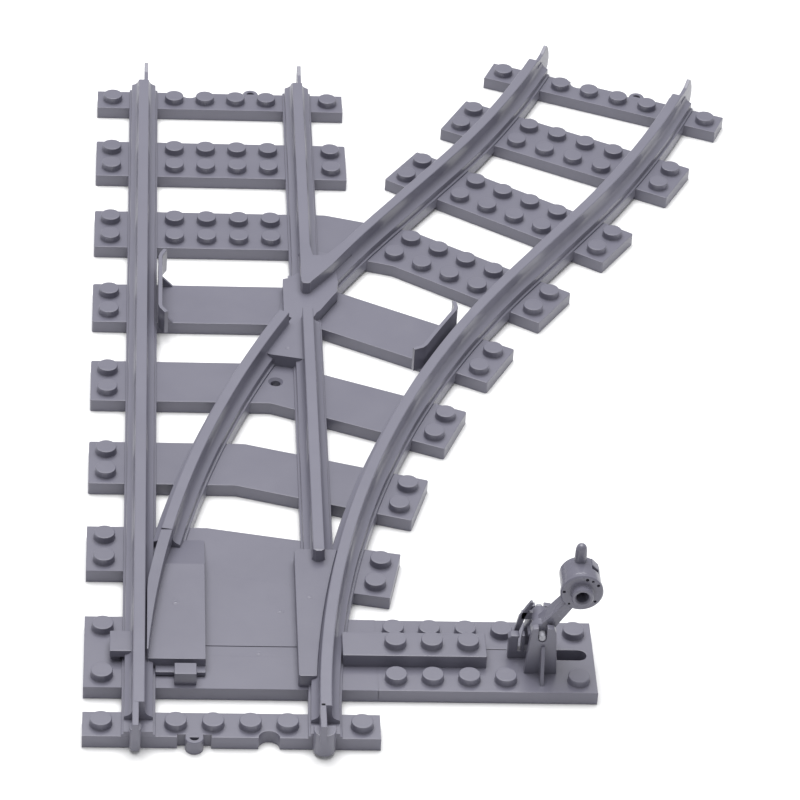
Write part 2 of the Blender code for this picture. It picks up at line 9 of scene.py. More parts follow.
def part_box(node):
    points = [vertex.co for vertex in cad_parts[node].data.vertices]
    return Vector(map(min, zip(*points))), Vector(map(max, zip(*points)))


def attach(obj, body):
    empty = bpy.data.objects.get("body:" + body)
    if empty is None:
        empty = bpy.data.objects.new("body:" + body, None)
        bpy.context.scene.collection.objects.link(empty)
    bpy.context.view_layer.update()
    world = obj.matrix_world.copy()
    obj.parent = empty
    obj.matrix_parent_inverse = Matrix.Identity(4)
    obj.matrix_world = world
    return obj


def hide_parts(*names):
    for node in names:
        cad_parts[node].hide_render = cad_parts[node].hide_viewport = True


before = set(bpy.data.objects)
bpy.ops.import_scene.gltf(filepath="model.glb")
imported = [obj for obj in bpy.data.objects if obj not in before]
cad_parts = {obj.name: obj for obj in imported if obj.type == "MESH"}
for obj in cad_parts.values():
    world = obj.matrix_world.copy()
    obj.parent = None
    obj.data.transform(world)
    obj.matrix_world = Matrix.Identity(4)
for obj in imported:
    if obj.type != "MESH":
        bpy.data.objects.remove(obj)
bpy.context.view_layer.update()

mm = 0.001

# plan of the track, in millimetres from the near joint
plan = {
    "sleeperHalf": 32.0,    # half of a sleeper's length
    "sleeperSide": 8.0,     # half of its width
    "spacing": 32.0,
    "length": 256.0,
    "gauge": 20.0,          # rail's offset from the centre line
    "bend": 320.0,
    "turn": math.radians(34.0),
    "link": 32.0,
    "leave": math.radians(22.5),
    "plate": 3.2,
    "floor": 6.4,
    "top": 9.6,
}
gauge, bend, spacing = plan["gauge"], plan["bend"], plan["spacing"]
plate, deckFloor, railTop = plan["plate"], plan["floor"], plan["top"]
branchLength = bend * plan["turn"] + plan["link"] + bend * (plan["turn"] - plan["leave"])

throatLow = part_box("throat_sleeper")[0]
throatNear, throatFar = 16.0, 40.0
layoutZero = Vector((throatLow.x + plan["sleeperHalf"] * mm, throatLow.y - throatNear * mm, 0.0))
toFrame = Matrix.Translation(layoutZero) @ Matrix.Scale(mm, 4)


def branchPlace(s):  # (x, y, heading) on the diverging centre line after s millimetres
    first = bend * plan["turn"]
    angle = min(s, first) / bend
    x, y = bend * (1 - math.cos(angle)), bend * math.sin(angle)
    straight = min(max(s - first, 0.0), plan["link"])
    x += straight * math.sin(plan["turn"])
    y += straight * math.cos(plan["turn"])
    heading = angle - max(s - first - plan["link"], 0.0) / bend
    x += bend * (math.cos(heading) - math.cos(angle))
    y += bend * (math.sin(angle) - math.sin(heading))
    return x, y, heading


def beside(place, along, across):
    x, y, heading = place
    return (
        x + along * math.sin(heading) + across * math.cos(heading),
        y + along * math.cos(heading) - across * math.sin(heading),
    )


def placed(place):  # matrix that takes a shape drawn at the origin to a place on the track
    x, y, heading = place
    return Matrix.Translation((x, y, 0.0)) @ Matrix.Rotation(-heading, 4, "Z")


def arcX(radius, y):
    return bend - math.sqrt(radius ** 2 - y ** 2)


def steps(low, high, count):
    return [low + (high - low) * i / count for i in range(count + 1)]


# small bmesh helpers
weld = 0.0005    # vertices closer than this are merged
hair = 0.001     # heights and widths closer than this count as equal
sunk = 0.1       # how deep a piece's foot stands in the plate
quarterTurn = Matrix.Rotation(math.radians(90), 4, "Z")


def addPart(bm, part, matrix=None):
    bmesh.ops.remove_doubles(part, verts=part.verts, dist=weld)
    if matrix is not None:
        bmesh.ops.transform(part, matrix=matrix, verts=part.verts)
    carrier = bpy.data.meshes.new("carrier")
    part.to_mesh(carrier)
    part.free()
    bm.from_mesh(carrier)
    bpy.data.meshes.remove(carrier)


def roundCorners(bm, verts, radius, segments=3):
    bmesh.ops.bevel(bm, geom=verts, offset=radius, offset_type="OFFSET", segments=segments,
                    profile=0.5, affect="VERTICES", material=-1)


def softEdges(bm, edges, radius, segments=2):
    bmesh.ops.bevel(bm, geom=edges, offset=radius, offset_type="OFFSET", segments=segments,
                    profile=0.5, affect="EDGES", material=-1, clamp_overlap=True)


def newVerts(result):
    return [item for item in result["geom"] if isinstance(item, bmesh.types.BMVert)]


def addSlab(bm, outline, low, high, corner=0.45, lip=0.22, keepSharp=None, matrix=None):
    # an upright slab over a plan outline, with rounded corners and a soft upper rim
    part = bmesh.new()
    part.faces.new([part.verts.new((x, y, low)) for x, y in outline])
    if corner:
        roundCorners(part, part.verts[:], corner)
    raised = bmesh.ops.extrude_face_region(part, geom=part.faces[:])
    bmesh.ops.translate(part, verts=newVerts(raised), vec=(0.0, 0.0, high - low))
    if lip:
        rim = [edge for edge in part.edges if min(vert.co.z for vert in edge.verts) > high - hair]
        if keepSharp:
            rim = [edge for edge in rim if not keepSharp((edge.verts[0].co + edge.verts[1].co) / 2)]
        softEdges(part, rim, lip)
    addPart(bm, part, matrix)


def addStanding(bm, profile, front, rear, lip=0.15, matrix=None):
    # a slab that stands along X: profile is (x, z), pushed from y = front to y = rear
    part = bmesh.new()
    part.faces.new([part.verts.new((x, front, z)) for x, z in profile])
    pushed = bmesh.ops.extrude_face_region(part, geom=part.faces[:])
    bmesh.ops.translate(part, verts=newVerts(pushed), vec=(0.0, rear - front, 0.0))
    if lip:
        softEdges(part, part.edges[:], lip)
    addPart(bm, part, matrix)


def addTurned(bm, profile, centre, axis="Z", sides=28, matrix=None):
    # a turned shape: profile is (radius, height) from one end of the axis to the other
    part = bmesh.new()
    verts = [part.verts.new((radius, 0.0, height)) for radius, height in profile]
    edges = [part.edges.new(pair) for pair in zip(verts, verts[1:])]
    bmesh.ops.spin(part, geom=verts + edges, cent=(0, 0, 0), axis=(0, 0, 1), dvec=(0, 0, 0),
                   angle=2 * math.pi, steps=sides, use_merge=True, use_duplicate=False)
    turn = Matrix.Identity(4)
    if axis == "Y":
        turn = Matrix.Rotation(math.radians(-90), 4, "X")
    place = Matrix.Translation(centre) @ turn
    addPart(bm, part, matrix @ place if matrix is not None else place)


def cutAway(bm, cutter):
    # an exact difference of two shapes, read back into a new bmesh
    pair = []
    for label, shape in (("body", bm), ("cutter", cutter)):
        bmesh.ops.recalc_face_normals(shape, faces=shape.faces)
        mesh = bpy.data.meshes.new(label)
        shape.to_mesh(mesh)
        shape.free()
        pair.append(bpy.data.objects.new(label, mesh))
        bpy.context.scene.collection.objects.link(pair[-1])
    cut = pair[0].modifiers.new("cut", "BOOLEAN")
    cut.operation, cut.solver, cut.object = "DIFFERENCE", "EXACT", pair[1]
    bpy.context.view_layer.update()
    result = bmesh.new()
    evaluated = pair[0].evaluated_get(bpy.context.evaluated_depsgraph_get())
    result.from_mesh(evaluated.to_mesh())
    evaluated.to_mesh_clear()
    for piece in pair:
        mesh = piece.data
        bpy.data.objects.remove(piece)
        bpy.data.meshes.remove(mesh)
    return result


stud = {
    "radius": 2.4, "height": 1.7,
    "foot": 0.12, "spread": 0.03,      # the small flare at the bottom
    "rim": 0.22, "flat": 0.04,         # the rounded rim and the narrow ring inside it
    "sides": 28,
}


def addStuds(bm, places, z=plate):
    r, h, foot, rim = stud["radius"], stud["height"], stud["foot"], stud["rim"]
    arc = [(r - rim * (1 - math.cos(a)), z + h - rim * (1 - math.sin(a))) for a in steps(0.0, math.pi / 2, 4)]
    profile = [(r + foot, z - sunk), (r + foot, z), (r + stud["spread"], z + foot), (r, z + 2 * foot),
               *arc, (r - rim - stud["flat"], z + h), (0.0, z + h)]
    for x, y in places:
        addTurned(bm, profile, (x, y, 0.0), sides=stud["sides"])


gateMark = {
    "ring": [(0.0, -0.2), (0.0, 0.03), (-0.12, 0.06), (-0.3, 0.03)],    # (from the rim, height)
    "nub": [(0.25, 0.03), (0.12, 0.1), (0.0, 0.11)],                    # (radius, height)
    "sides": 20,
}


def addGateMark(bm, x, y, z, radius=0.9):
    # the faint ring and nub where the plastic entered the mould
    profile = [(radius + inset, z + height) for inset, height in gateMark["ring"]]
    profile += [(across, z + height) for across, height in gateMark["nub"]]
    addTurned(bm, profile, (x, y, 0.0), sides=gateMark["sides"])


smoothUnder = math.radians(35.0)


def finishPiece(name, bm, body, material, nodes):
    bmesh.ops.recalc_face_normals(bm, faces=bm.faces)
    bm.transform(toFrame)
    mesh = bpy.data.meshes.new(name)
    bm.to_mesh(mesh)
    bm.free()
    mesh.shade_smooth()
    mesh.set_sharp_from_angle(angle=smoothUnder)
    piece = bpy.data.objects.new(name, mesh)
    bpy.context.scene.collection.objects.link(piece)
    mesh.materials.append(material)
    even = piece.modifiers.new("evenNormals", "WEIGHTED_NORMAL")
    even.keep_sharp = True
    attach(piece, body)
    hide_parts(*nodes)


# materials
def linearColour(hexColour):
    channels = [int(hexColour[i:i + 2], 16) / 255 for i in (1, 3, 5)]
    linear = [c / 12.92 if c <= 0.04045 else ((c + 0.055) / 1.055) ** 2.4 for c in channels]
    return (*linear, 1.0)


def addNode(tree, kind, settings=None, links=None):
    node = tree.nodes.new(kind)
    for key, value in (settings or {}).items():
        if key in node.inputs:
            node.inputs[key].default_value = value
        else:
            setattr(node, key, value)
    for key, socket in (links or {}).items():
        tree.links.new(socket, node.inputs[key])
    return node


def noise(tree, where, size, detail, roughness=0.5):
    settings = {"Scale": 1 / (size * mm), "Detail": detail, "Roughness": roughness}
    return addNode(tree, "ShaderNodeTexNoise", settings, {"Vector": where}).outputs["Fac"]


def mouldedAbs(name, look):
    # injection-moulded ABS: dyed right through, a close satin gloss with a trace of mould texture
    material = bpy.data.materials.new(name)
    material.use_nodes = True
    tree = material.node_tree
    tree.nodes.clear()
    where = addNode(tree, "ShaderNodeTexCoord").outputs["Object"]
    colour = addNode(tree, "ShaderNodeMix", {"data_type": "RGBA"})
    colour.inputs[6].default_value = linearColour(look["deep"])
    colour.inputs[7].default_value = linearColour(look["pale"])
    tree.links.new(noise(tree, where, look["flowMm"], 3.0, 0.55), colour.inputs[0])
    gloss = addNode(tree, "ShaderNodeMapRange",
                    {"From Min": 0.3, "From Max": 0.7, "To Min": look["smooth"], "To Max": look["dull"]},
                    {"Value": noise(tree, where, look["scuffMm"], 4.0, 0.65)})
    bump = addNode(tree, "ShaderNodeBump", {"Strength": look["skin"], "Distance": look["skinDeepMm"] * mm},
                   {"Height": noise(tree, where, look["skinMm"], 2.0)})
    shader = addNode(tree, "ShaderNodeBsdfPrincipled", {"IOR": look["ior"], "Metallic": 0.0},
                     {"Base Color": colour.outputs[2], "Roughness": gloss.outputs["Result"],
                      "Normal": bump.outputs["Normal"]})
    output = addNode(tree, "ShaderNodeOutputMaterial")
    tree.links.new(shader.outputs["BSDF"], output.inputs["Surface"])
    return material


plasticLook = {
    "deep": "#686774", "pale": "#72717e",     # dark bluish grey, a little uneven with the melt's flow
    "flowMm": 22.0, "scuffMm": 6.0, "skinMm": 3.0,
    "smooth": 0.3, "dull": 0.38,              # roughness, least and most
    "skin": 0.04, "skinDeepMm": 0.02,         # the mould's own texture
    "ior": 1.54,                              # ABS
}
railPlastic = {**plasticLook, "deep": "#6e6d7a", "pale": "#787784", "smooth": 0.28, "dull": 0.34}
sleeperAbs = mouldedAbs("mouldedAbsSatin", plasticLook)
railAbs = mouldedAbs("mouldedAbsPolished", railPlastic)
leverAbs = mouldedAbs("mouldedAbsLever", {**plasticLook, "smooth": 0.22, "dull": 0.32})
pinAbs = mouldedAbs("mouldedAbsPaleGrey", {**plasticLook, "deep": "#9c9ca4", "pale": "#a8a8b0"})
print("materials ready")


# sleepers
sleeperLook = {
    "corner": 0.5,
    "endLip": 0.18,
    "studRows": (-4.0, 4.0), "outer": 28.0, "inner": (-12.0, -4.0, 4.0, 12.0),
    # joint: a boss with a hole, a clearance slot on each side of it, and a round socket for the next one's boss
    "bossSide": 8.0, "boss": 2.0, "bossHole": 0.95, "bossLip": 0.15, "holeLip": 0.12,
    "bossFoot": 0.05, "proud": 0.01,
    "clearance": (1.9, 3.65), "clearanceDepth": -0.9, "socket": 2.3, "socketSteps": 10,
    # sleeper 4 has a countersunk hole: (radius, height)
    "screwAt": (12.0, 128.6, 0.0), "screwSides": 24,
    "screwHole": [(0.0, -1.0), (1.2, -1.0), (1.2, plate - 0.6), (1.9, plate + 0.1), (1.9, plate + 1.0),
                  (0.0, plate + 1.0)],
    # sleeper 6 carries both tracks and widens towards the diverging one: offsets from the rails
    "widenNear": (2.0, -10.0), "widenFar": (6.0, 6.0),
}


def straightOutline(middle):
    x, half = plan["sleeperHalf"], plan["sleeperSide"]
    return [(-x, middle - half), (x, middle - half), (x, middle + half), (-x, middle + half)]


def branchOutline(s):
    x, half = plan["sleeperHalf"], plan["sleeperSide"]
    return [beside(branchPlace(s), *corner) for corner in ((-half, -x), (-half, x), (half, x), (half, -x))]


def bentOutline(middle, s):
    place, end, half = branchPlace(s), plan["sleeperHalf"], plan["sleeperSide"]
    bends = []
    for side in (-half, half):
        start = beside(place, side, 0.0)
        bends.append(beside(place, side, (start[1] - middle - side) / math.sin(place[2])))
    return [(-end, middle - half), bends[0], beside(place, -half, end), beside(place, half, end), bends[1],
            (-end, middle + half)]


def gussetOutline(middle, s):
    place, end, half = branchPlace(s), plan["sleeperHalf"], plan["sleeperSide"]
    (nearMain, nearBranch), (farMain, farBranch) = sleeperLook["widenNear"], sleeperLook["widenFar"]
    return [(-end, middle - half), (gauge + nearMain, middle - half), beside(place, -half, nearBranch),
            beside(place, -half, end), beside(place, half, end), beside(place, half, -gauge + farBranch),
            (gauge + farMain, middle + half), (-end, middle + half)]


def rowOfStuds(middle, across):
    return [(x, middle + row) for row in sleeperLook["studRows"] for x in across]


def branchStuds(s, across):
    return [beside(branchPlace(s), row, x) for row in sleeperLook["studRows"] for x in across]


def endOutline(bossSide, outward):
    face, back, half = 0.0, -plan["sleeperSide"], plan["sleeperHalf"]
    low, high = sleeperLook["clearance"]
    depth, radius = sleeperLook["clearanceDepth"], sleeperLook["socket"]
    features = []
    for side in (-1, 1):
        start, end = sorted((side * low, side * high))
        features.append((bossSide + start, bossSide + end, "slot"))
    features.append((-bossSide - radius, -bossSide + radius, "socket"))
    points = [(-half, face)]
    for start, end, kind in sorted(features):
        if kind == "slot":
            points += [(start, face), (start, depth), (end, depth), (end, face)]
        else:
            count = sleeperLook["socketSteps"]
            angles = [math.pi * i / count for i in range(count + 1)]
            points += [(-bossSide - radius * math.cos(a), face - radius * math.sin(a)) for a in angles]
    points += [(half, face), (half, back), (-half, back)]
    return [(x, y * outward) for x, y in points]


def addEndSleeper(bm, place, bossSide, outward):
    matrix = placed(place)
    addSlab(bm, endOutline(bossSide, outward), 0.0, plate, corner=0.0, lip=sleeperLook["endLip"], matrix=matrix)
    r, hole = sleeperLook["boss"], sleeperLook["bossHole"]
    lip, holeLip, top = sleeperLook["bossLip"], sleeperLook["holeLip"], plate + sleeperLook["proud"]
    foot = sleeperLook["bossFoot"]
    ring = [(hole, foot), (r, 0.0), (r, plate - lip), (r - lip, top), (hole + holeLip, top),
            (hole, plate - holeLip), (hole, foot)]
    addTurned(bm, ring, (bossSide, 0.0, 0.0), matrix=matrix)
    outer, rearRow = sleeperLook["outer"], sleeperLook["studRows"][0]
    addStuds(bm, [beside(place, rearRow * outward, x) for x in (-outer, *sleeperLook["inner"], outer)])


# a long slot for the throw rod runs across the throat sleeper and into the arm
throatLook = {
    "slotLow": 26.99, "slotHigh": 30.5, "slotLeft": -26.3, "slotRight": 78.4, "slotSteps": 8,
    "floor": (0.02, 0.3), "floorLow": 26.0, "floorHigh": 31.2, "floorLeft": -28.0, "floorRight": 79.0,
    "armStart": 32.0, "armEnd": 80.0, "overlap": 0.1,
    "deck": (-16.7, 16.0, 39.6, 66.0),       # left, right, near and far sides
    "deckDrop": 0.004,                       # how far it lies under the sleepers' tops
    "deckMark": (11.2, 42.7),
    "studRows": (20.0, 36.0), "armStuds": (36.0, 44.0, 52.0, 60.0, 76.0),
    # edges this near the deck, the arm or the slot's front stay sharp
    "seam": 0.5, "armSeam": 0.3, "slotSeam": 0.1,
}


def rectangle(left, right, low, high):
    return [(left, low), (right, low), (right, high), (left, high)]


def buildThroat():
    look, half = throatLook, plan["sleeperHalf"]
    slotLow, slotHigh, left = look["slotLow"], look["slotHigh"], look["slotLeft"]
    start, end, lip = look["armStart"], look["armEnd"], sleeperLook["endLip"]
    deckRight = look["deck"][1]
    outer, right, seam = sleeperLook["outer"], half + look["overlap"], look["seam"]

    def keepSharp(p):
        atDeck = p.y > throatFar - seam and abs(p.x) < deckRight + seam
        return atDeck or p.x > half - look["slotSeam"] or abs(p.y - slotLow) < look["slotSeam"]

    bm = bmesh.new()
    outline = [(-half, throatNear), (-deckRight, throatNear), (right, throatNear), (right, slotLow), (left, slotLow),
               (left, slotHigh), (right, slotHigh), (right, throatFar), (deckRight, throatFar),
               (-deckRight, throatFar), (-half, throatFar)]
    addSlab(bm, outline, 0.0, plate, corner=0.0, lip=lip, keepSharp=keepSharp)
    floor = rectangle(look["floorLeft"], right, look["floorLow"], look["floorHigh"])
    addSlab(bm, floor, *look["floor"], corner=0.0, lip=0.0)
    addStuds(bm, [(-outer, y) for y in look["studRows"]])
    finishPiece("throatSleeper", bm, "base", sleeperAbs, ["throat_sleeper"])

    bm = bmesh.new()
    addSlab(bm, rectangle(*look["deck"]), 0.0, plate - look["deckDrop"], corner=0.0,
            keepSharp=lambda p: abs(p.x) < deckRight - seam)
    addGateMark(bm, *look["deckMark"], plate)
    finishPiece("deckPlate", bm, "base", sleeperAbs, ["deck_plate"])

    bm = bmesh.new()
    middle, radius = (slotLow + slotHigh) / 2, (slotHigh - slotLow) / 2
    bow = [(look["slotRight"] - radius + radius * math.sin(a), middle + radius * math.cos(a))
           for a in steps(0.0, math.pi, look["slotSteps"])]
    outline = [*rectangle(start, end, throatNear, throatFar), (start, slotHigh), *bow, (start, slotLow)]
    addSlab(bm, outline, 0.0, plate, corner=0.0, lip=lip,
            keepSharp=lambda p: p.x < start + look["armSeam"] or abs(p.y - slotLow) < look["slotSeam"])
    floor = rectangle(start, look["floorRight"], look["floorLow"], look["floorHigh"])
    addSlab(bm, floor, *look["floor"], corner=0.0, lip=0.0)
    addStuds(bm, [(x, y) for y in look["studRows"] for x in look["armStuds"]])
    finishPiece("standArm", bm, "base", sleeperAbs, ["stand_arm"])


def buildSleepers():
    inner, outer, bossAt = sleeperLook["inner"], sleeperLook["outer"], sleeperLook["bossSide"]
    last = 9    # the diverging leg's end sleeper, counted along from the near joint
    joints = (
        ("nearEndSleeper", "near_end_sleeper", (0.0, 0.0, 0.0), -bossAt, -1),
        ("farEndSleeper", "far_end_sleeper", (0.0, plan["length"], 0.0), bossAt, 1),
        ("branchEndSleeper", "branch_end_sleeper", branchPlace(branchLength), bossAt, 1),
    )
    for name, node, place, bossSide, outward in joints:
        bm = bmesh.new()
        addEndSleeper(bm, place, bossSide, outward)
        finishPiece(name, bm, "base", sleeperAbs, [node])
    buildThroat()

    # sleepers 2 to 5 bend where the two tracks part; the second one meets the deck
    deckRight, deckMeets = throatLook["deck"][1], 56.0
    for number in range(2, 6):
        middle, s = spacing * number, branchLength - spacing * (last - number)
        bm = bmesh.new()
        outline = bentOutline(middle, s)
        if number == 2:
            outline = [outline[0], (-deckRight, deckMeets), *outline[1:]]
            addSlab(bm, outline, 0.0, plate, corner=0.0,
                    keepSharp=lambda p: p.y < deckMeets + 2.0 and abs(p.x) < deckRight)
        else:
            addSlab(bm, outline, 0.0, plate, corner=sleeperLook["corner"])
        if number == 4:
            hole = bmesh.new()
            addTurned(hole, sleeperLook["screwHole"], sleeperLook["screwAt"], sides=sleeperLook["screwSides"])
            bm = cutAway(bm, hole)
        addStuds(bm, rowOfStuds(middle, (-outer,)) + branchStuds(s, (outer,)))
        finishPiece(f"sleeper{number}", bm, "base", sleeperAbs, [f"sleeper_{number}"])

    middle, s = spacing * 6, branchLength - spacing * (last - 6)
    bm = bmesh.new()
    addSlab(bm, gussetOutline(middle, s), 0.0, plate)
    addStuds(bm, rowOfStuds(middle, (-outer, *inner)) + branchStuds(s, (*inner, outer)))
    finishPiece("sleeper6", bm, "base", sleeperAbs, ["sleeper_6"])
    bm = bmesh.new()
    addSlab(bm, straightOutline(spacing * 7), 0.0, plate)
    addStuds(bm, rowOfStuds(spacing * 7, (-outer, *inner, outer)))
    finishPiece("sleeper7", bm, "base", sleeperAbs, ["sleeper_7"])
    for number in (7, 8):
        s = branchLength - spacing * (last - number)
        bm = bmesh.new()
        addSlab(bm, branchOutline(s), 0.0, plate)
        addStuds(bm, branchStuds(s, (-outer, *inner, outer)))
        finishPiece(f"branchSleeper{number}", bm, "base", sleeperAbs, [f"branch_sleeper_{number}"])


buildSleepers()
print("sleepers ready")


# rails
railLook = {
    "half": [(1.32, 9.6, 0.3), (1.3, 7.3, 0.0), (1.42, 6.6, 0.0), (1.75, 6.02, 0.0), (2.3, 5.62, 0.0),
             (3.1, 5.3, 0.16), (3.1, 3.78, 0.0), (3.65, 3.72, 0.14), (3.65, 0.9, 0.0)],
    "arcStep": math.radians(1.0),
}


def railRing(bm, place, cuts=()):
    # the rail's cross-section as a closed ring at a place; cuts are (point, normal) and drop what lies ahead of them
    part = bmesh.new()
    half = railLook["half"]
    corners = [(x, z, r) for x, z, r in reversed(half)] + [(-x, z, r) for x, z, r in half]
    verts = [part.verts.new((x, 0.0, z)) for x, z, r in corners]
    part.faces.new(verts)
    for size in sorted({r for x, z, r in half if r}):
        wanted = [(x, z) for x, z, r in half if r == size]
        chosen = [vert for vert in part.verts
                  if any(abs(abs(vert.co.x) - x) < hair and abs(vert.co.z - z) < hair for x, z in wanted)]
        roundCorners(part, chosen, size, 3)
    for point, normal in cuts:
        bmesh.ops.bisect_plane(part, geom=part.verts[:] + part.edges[:] + part.faces[:], dist=0.0001,
                               plane_co=point, plane_no=normal, clear_outer=True)
    before = set(bm.edges)
    addPart(bm, part, placed(place))
    fresh = [edge for edge in bm.edges if edge not in before]
    faces = {face for edge in fresh for face in edge.link_faces}
    bmesh.ops.delete(bm, geom=list(faces), context="FACES_ONLY")
    return fresh


def pushRing(bm, ring, vector):
    result = bmesh.ops.extrude_edge_only(bm, edges=ring)
    bmesh.ops.translate(bm, verts=newVerts(result), vec=vector)
    return [item for item in result["geom"] if isinstance(item, bmesh.types.BMEdge)]


def spinRing(bm, ring, centre, angle):
    count = max(2, round(abs(angle) / railLook["arcStep"]))
    verts = list({vert for edge in ring for vert in edge.verts})
    result = bmesh.ops.spin(bm, geom=verts + ring, cent=(*centre, 0.0), axis=(0, 0, 1), dvec=(0, 0, 0),
                            angle=angle, steps=count, use_merge=False, use_duplicate=False)
    return [item for item in result["geom_last"] if isinstance(item, bmesh.types.BMEdge)]


def sweptRail(bm, place, moves, cuts=()):
    ring = railRing(bm, place, cuts)
    first = list(ring)
    for kind, value, centre in moves:
        ring = pushRing(bm, ring, value) if kind == "push" else spinRing(bm, ring, centre, value)
    for loop in (first, ring):
        bmesh.ops.contextual_create(bm, geom=loop)


def straightRail(bm, x, low, high, cuts=()):
    sweptRail(bm, (x, low, 0.0), [("push", (0.0, high - low, 0.0), None)], cuts)


def branchRail(bm, offset, start, end, cuts=()):
    # follows the diverging line: a bend to the right, a short straight and the bend back
    first, second = bend * plan["turn"], bend * plan["turn"] + plan["link"]
    moves, s = [], start
    if s < first:
        stop = min(end, first)
        moves.append(("spin", -(stop - s) / bend, (bend, 0.0)))
        s = stop
    if s < second and end > s:
        stop = min(end, second)
        x, y = math.sin(plan["turn"]) * (stop - s), math.cos(plan["turn"]) * (stop - s)
        moves.append(("push", (x, y, 0.0), None))
        s = stop
    if end > s:
        centre = beside(branchPlace(second), 0.0, -bend)
        moves.append(("spin", (end - s) / bend, centre))
    x, y = beside(branchPlace(start), 0.0, offset)
    sweptRail(bm, (x, y, branchPlace(start)[2]), moves, cuts)


def above(z):
    return ((0.0, 0.0, z), (0.0, 0.0, 1.0))


endLook = {
    "skin": 0.06,                             # flat ends stay this far behind the sleeper's own face
    "headStop": 4.0, "webTop": 6.9,           # the head ends before the joint, and its lower web goes on
    "mainHead": 4.0, "branchHead": 3.7,       # where the heads start at the near joint
    "footTop": 4.5, "flangeTop": 6.35,
    "overlap": 0.05,
    "fin": [(-6.0, 9.3), (-1.6, 8.5), (1.2, 8.6), (3.0, 9.2), (4.3, 9.6), (5.6, 8.3), (6.6, 6.2), (7.0, 4.4),
            (6.6, 2.4), (5.2, 0.95), (-6.0, 0.95)],
    "finSide": (0.12, 1.12),
}


def addFin(bm, place):
    turn = placed(place) @ quarterTurn
    left, right = endLook["finSide"]
    addStanding(bm, endLook["fin"], -right, -left, lip=0.12, matrix=turn)


def addEntry(bm, x, left, right):
    # near joint: half of the head and a rounded nose stand past the sleeper, beside a slot for the next rail's fin
    middle, radius = x + (left + right) / 2, (right - left) / 2
    bow = [(middle - radius * math.cos(a), -0.9 - radius * 0.95 * math.sin(a)) for a in steps(0.0, math.pi, 10)]
    addSlab(bm, [*bow, (middle + radius, 0.5), (middle - radius, 0.5)], 0.9, 6.6, corner=0.0, lip=0.2)
    addSlab(bm, [(x - 1.32, -3.6), (x + 0.05, -3.6), (x + 0.05, 4.05), (x - 1.32, 4.05)], 5.0, railTop, corner=0.0,
            keepSharp=lambda p: p.y > 4.0)


def buildRails():
    far = plan["length"]
    lower, flange, web = ([above(endLook[key])] for key in ("footTop", "flangeTop", "webTop"))
    stop, skin, overlap = endLook["headStop"], endLook["skin"], endLook["overlap"]
    mainHead, branchHead = endLook["mainHead"], endLook["branchHead"]

    bm = bmesh.new()
    straightRail(bm, -gauge, mainHead, far - stop)
    straightRail(bm, -gauge, skin, mainHead + overlap, lower)
    straightRail(bm, -gauge, far - stop - overlap, far - skin, web)
    addEntry(bm, -gauge, -1.9, 0.6)
    addFin(bm, (-gauge, far, 0.0))
    finishPiece("leftStockRail", bm, "base", railAbs, ["left_stock_rail"])

    bm = bmesh.new()
    branchRail(bm, gauge, branchHead, branchLength - stop)
    branchRail(bm, gauge, skin, branchHead + overlap, lower)
    branchRail(bm, gauge, branchLength - stop - overlap, branchLength - skin, web)
    addEntry(bm, gauge, -2.6, 2.2)
    x, y = beside(branchPlace(branchLength), 0.0, gauge)
    addFin(bm, (x, y, plan["leave"]))
    finishPiece("curvedStockRail", bm, "base", railAbs, ["curved_stock_rail"])

    # closure rails run from the points to the frog
    bm = bmesh.new()
    startY, endY = 63.6, 148.8
    place = (arcX(bend + gauge, startY), startY, 0.0)
    startAngle, endAngle = math.asin(startY / (bend + gauge)), math.asin(endY / (bend + gauge))
    sweptRail(bm, (place[0], place[1], startAngle), [("spin", startAngle - endAngle, (bend, 0.0))])
    finishPiece("leftClosureRail", bm, "base", railAbs, ["left_closure_rail"])

    bm = bmesh.new()
    straightRail(bm, gauge, 57.2, 150.5)
    nose = [(gauge - 1.3, 57.25), (gauge - 1.3, 57.0), (gauge - 0.6, 56.4), (gauge + 0.6, 56.4), (gauge + 1.3, 57.0),
            (gauge + 1.3, 57.25)]
    addSlab(bm, nose, 5.8, railTop, corner=0.0, lip=0.25, keepSharp=lambda p: p.y > 57.2)
    finishPiece("rightClosureRail", bm, "base", railAbs, ["right_closure_rail"])

    bm = bmesh.new()
    straightRail(bm, gauge, 163.5, 177.2, flange)
    straightRail(bm, gauge, 177.18, far - stop)
    straightRail(bm, gauge, far - stop - overlap, far - skin, web)
    addFin(bm, (gauge, far, 0.0))
    finishPiece("mainExitRail", bm, "base", railAbs, ["main_exit_rail"])

    bm = bmesh.new()
    branchRail(bm, -gauge, 165.3, 176.5, flange)
    branchRail(bm, -gauge, 176.48, branchLength - stop)
    branchRail(bm, -gauge, branchLength - stop - overlap, branchLength - skin, web)
    x, y = beside(branchPlace(branchLength), 0.0, -gauge)
    addFin(bm, (x, y, plan["leave"]))
    finishPiece("branchExitRail", bm, "base", railAbs, ["branch_exit_rail"])


buildRails()
print("rails ready")


# check rails
def addRibbon(bm, route, half, low, high, lip=0.15):
    # a thin upright strip along a route
    left, right = [], []
    for i, point in enumerate(route):
        ahead = Vector(route[min(i + 1, len(route) - 1)]) - Vector(route[max(i - 1, 0)])
        side = Vector((ahead.y, -ahead.x)).normalized() * half
        left.append(tuple(Vector(point) - side))
        right.append(tuple(Vector(point) + side))
    addSlab(bm, left + list(reversed(right)), low, high, corner=0.0, lip=lip)


